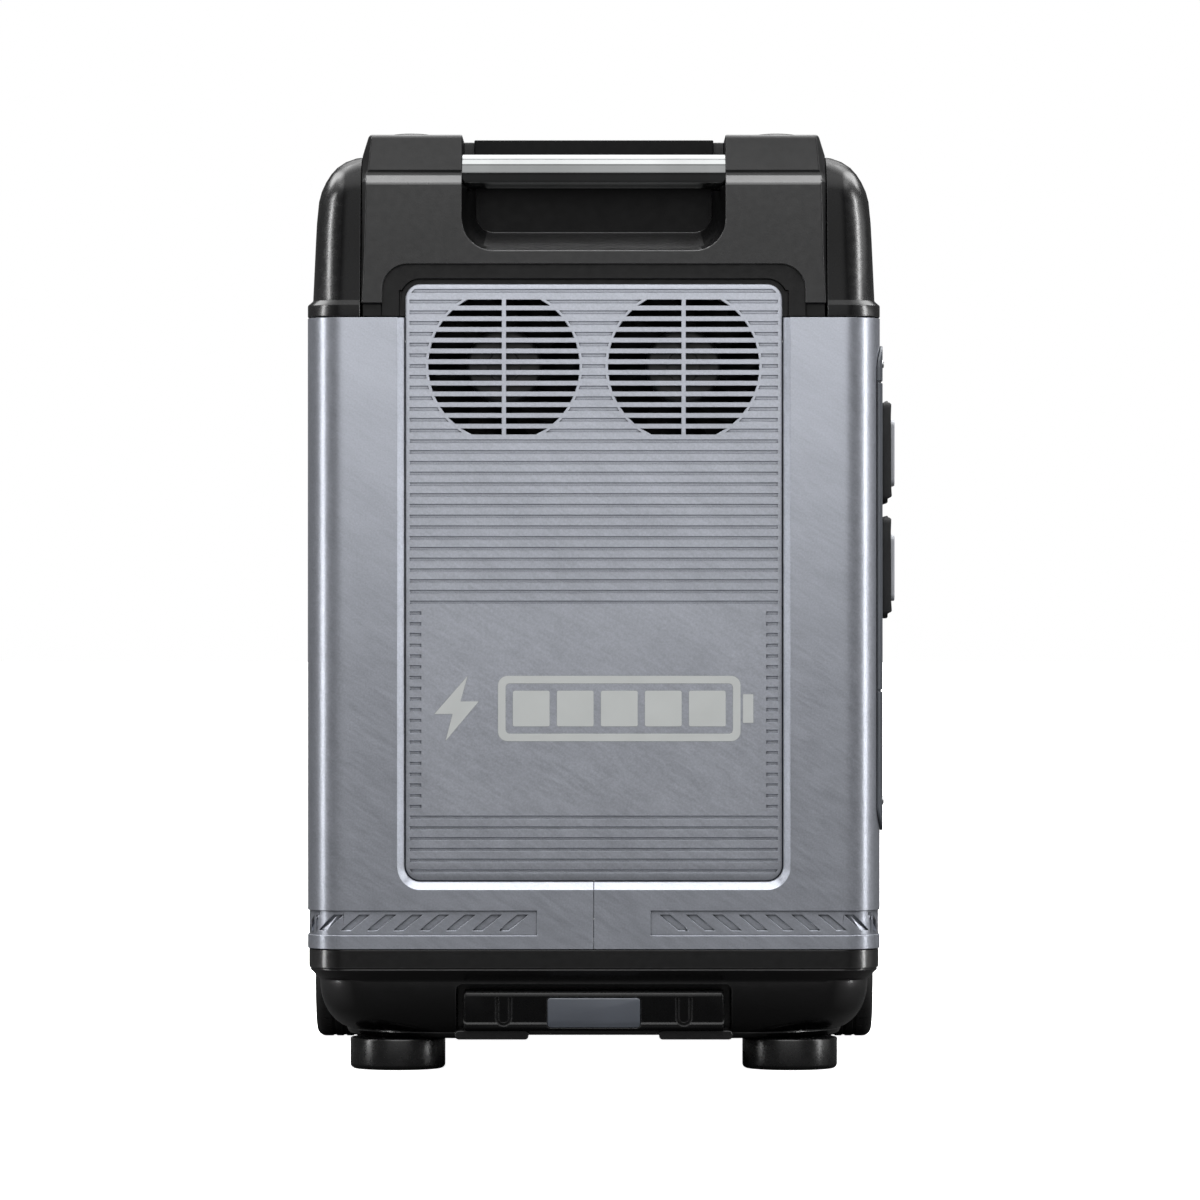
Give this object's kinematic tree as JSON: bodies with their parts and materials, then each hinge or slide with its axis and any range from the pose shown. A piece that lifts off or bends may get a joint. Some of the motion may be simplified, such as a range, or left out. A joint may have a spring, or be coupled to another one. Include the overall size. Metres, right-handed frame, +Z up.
{
  "type": "portable power station",
  "caption": "Wheeled portable power station: silver body, black base and top with a grip tube at each end, pull-out trolley handle, covered sockets and twin exhaust fans.",
  "frame": {"origin": "centre of the footprint on the floor, with the feet and tyres standing on Z = 0", "axes": "+Z up, +X out of the front with the sockets and display, +Y towards the wheeled end, -Y towards the trolley grip and exhaust fans"},
  "size_m": [0.38, 0.44, 0.59],
  "materials": {
    "black_moulding": "fine-textured black moulding",
    "foot_rubber": "smooth black rubber, slightly glossy",
    "tyre_rubber": "matte black tread",
    "silver_shell": "metallic silver-grey paint with a fine fleck",
    "silver_panel": "metallic silver-grey paint with a fine fleck",
    "polished_tube": "polished, smooth",
    "plated_steel": "zinc plated",
    "trolley_alloy": "satin anodised",
    "heatsink_alloy": "extruded, bead blasted",
    "wheel_plastic": "textured dark grey moulding",
    "grey_blue_button": "satin grey-blue moulding",
    "button_grey": "satin grey moulding",
    "front_moulding": "fine-textured dark grey moulding",
    "cover_moulding": "satin dark grey moulding",
    "socket_black": "smooth black moulding",
    "display_glass": "smoked window",
    "display_screen": "dark screen",
    "fan_plastic": "moulded black",
    "rotor_plastic": "moulded dark grey",
    "cell_wrap": "aluminium cell cans wrapped in blue film",
    "circuit_board": "green solder mask"
  },
  "bodies": {
    "case": {"base_tray": "black_moulding", "top_cover": "black_moulding", "near_handle_yoke": "black_moulding", "far_handle_yoke": "black_moulding", "near_post_cap_front": "black_moulding", "near_post_cap_rear": "black_moulding", "far_post_cap_front": "black_moulding", "far_post_cap_rear": "black_moulding", "foot_front": "foot_rubber", "foot_rear": "foot_rubber", "front_body_shell": "silver_shell", "rear_body_shell": "silver_shell", "near_end_panel": "silver_panel", "far_end_panel": "silver_panel", "near_grip_tube": "polished_tube", "far_grip_tube": "polished_tube", "wheel_axle_front": "plated_steel", "wheel_axle_rear": "plated_steel", "chassis_plate": "plated_steel", "trolley_guide_front": "trolley_alloy", "trolley_guide_rear": "trolley_alloy", "inverter_heatsink": "heatsink_alloy", "front_panel": "front_moulding", "rear_port_panel": "front_moulding", "socket_upper_near": "socket_black", "socket_upper_far": "socket_black", "socket_lower_near": "socket_black", "socket_lower_far": "socket_black", "usb_port_block": "socket_black", "ac_inlet": "socket_black", "solar_inlet": "socket_black", "display_lens": "display_glass", "display_module": "display_screen", "fan_frame_front": "fan_plastic", "fan_frame_rear": "fan_plastic", "battery_module_front": "cell_wrap", "battery_module_rear": "cell_wrap", "bms_board": "circuit_board", "inverter_board": "circuit_board", "charger_board": "circuit_board"},
    "front_wheel": {"tyre_front": "tyre_rubber", "wheel_hub_front": "wheel_plastic"},
    "rear_wheel": {"tyre_rear": "tyre_rubber", "wheel_hub_rear": "wheel_plastic"},
    "front_fan": {"fan_rotor_front": "rotor_plastic"},
    "rear_fan": {"fan_rotor_rear": "rotor_plastic"},
    "trolley_middle_stage": {"trolley_middle_front": "trolley_alloy", "trolley_middle_rear": "trolley_alloy"},
    "trolley_handle": {"trolley_rod_front": "trolley_alloy", "trolley_rod_rear": "trolley_alloy", "trolley_grip": "black_moulding"},
    "release_button": {"trolley_release": "grey_blue_button"},
    "cover_upper_near": {"socket_cover_upper_near": "cover_moulding"},
    "cover_upper_far": {"socket_cover_upper_far": "cover_moulding"},
    "cover_lower_near": {"socket_cover_lower_near": "cover_moulding"},
    "cover_lower_far": {"socket_cover_lower_far": "cover_moulding"},
    "power_key": {"power_button": "button_grey"},
    "ac_key": {"ac_button": "button_grey"},
    "dc_key": {"dc_button": "button_grey"},
    "port_door": {"rear_port_door": "front_moulding"}
  },
  "joints": [
    {"name": "front_wheel_spin", "type": "hinge", "parent": "case", "child": "front_wheel", "pos_m": [0.169, 0.174, 0.046], "axis": [1, 0, 0], "continuous": true},
    {"name": "rear_wheel_spin", "type": "hinge", "parent": "case", "child": "rear_wheel", "pos_m": [-0.169, 0.174, 0.046], "axis": [1, 0, 0], "continuous": true},
    {"name": "front_fan_spin", "type": "hinge", "parent": "case", "child": "front_fan", "pos_m": [0.0563, -0.191, 0.4426], "axis": [0, 1, 0], "continuous": true},
    {"name": "rear_fan_spin", "type": "hinge", "parent": "case", "child": "rear_fan", "pos_m": [-0.0563, -0.191, 0.4426], "axis": [0, 1, 0], "continuous": true},
    {"name": "trolley_middle_slide", "type": "slide", "parent": "case", "child": "trolley_middle_stage", "axis": [0, -1, 0], "range_m": [0, 0.25]},
    {"name": "trolley_handle_slide", "type": "slide", "parent": "trolley_middle_stage", "child": "trolley_handle", "axis": [0, -1, 0], "range_m": [0, 0.25]},
    {"name": "release_press", "type": "slide", "parent": "trolley_handle", "child": "release_button", "axis": [0, 1, 0], "range_m": [0, 0.003], "stiffness_N_per_m": 500},
    {"name": "cover_upper_near_hinge", "type": "hinge", "parent": "case", "child": "cover_upper_near", "pos_m": [0.1856, -0.148, 0.4187], "axis": [0, -1, 0], "range_deg": [0, 95], "stiffness_Nm_per_rad": 0.01, "springref_deg": -11.46},
    {"name": "cover_upper_far_hinge", "type": "hinge", "parent": "case", "child": "cover_upper_far", "pos_m": [0.1856, -0.076, 0.4187], "axis": [0, -1, 0], "range_deg": [0, 95], "stiffness_Nm_per_rad": 0.01, "springref_deg": -11.46},
    {"name": "cover_lower_near_hinge", "type": "hinge", "parent": "case", "child": "cover_lower_near", "pos_m": [0.1856, -0.148, 0.3461], "axis": [0, -1, 0], "range_deg": [0, 95], "stiffness_Nm_per_rad": 0.01, "springref_deg": -11.46},
    {"name": "cover_lower_far_hinge", "type": "hinge", "parent": "case", "child": "cover_lower_far", "pos_m": [0.1856, -0.076, 0.3461], "axis": [0, -1, 0], "range_deg": [0, 95], "stiffness_Nm_per_rad": 0.01, "springref_deg": -11.46},
    {"name": "power_press", "type": "slide", "parent": "case", "child": "power_key", "axis": [-1, 0, 0], "range_m": [0, 0.0015], "stiffness_N_per_m": 800},
    {"name": "ac_press", "type": "slide", "parent": "case", "child": "ac_key", "axis": [-1, 0, 0], "range_m": [0, 0.0015], "stiffness_N_per_m": 800},
    {"name": "dc_press", "type": "slide", "parent": "case", "child": "dc_key", "axis": [-1, 0, 0], "range_m": [0, 0.0015], "stiffness_N_per_m": 800},
    {"name": "port_door_hinge", "type": "hinge", "parent": "case", "child": "port_door", "pos_m": [-0.1782, 0, 0.4205], "axis": [0, 1, 0], "range_deg": [0, 100]}
  ]
}
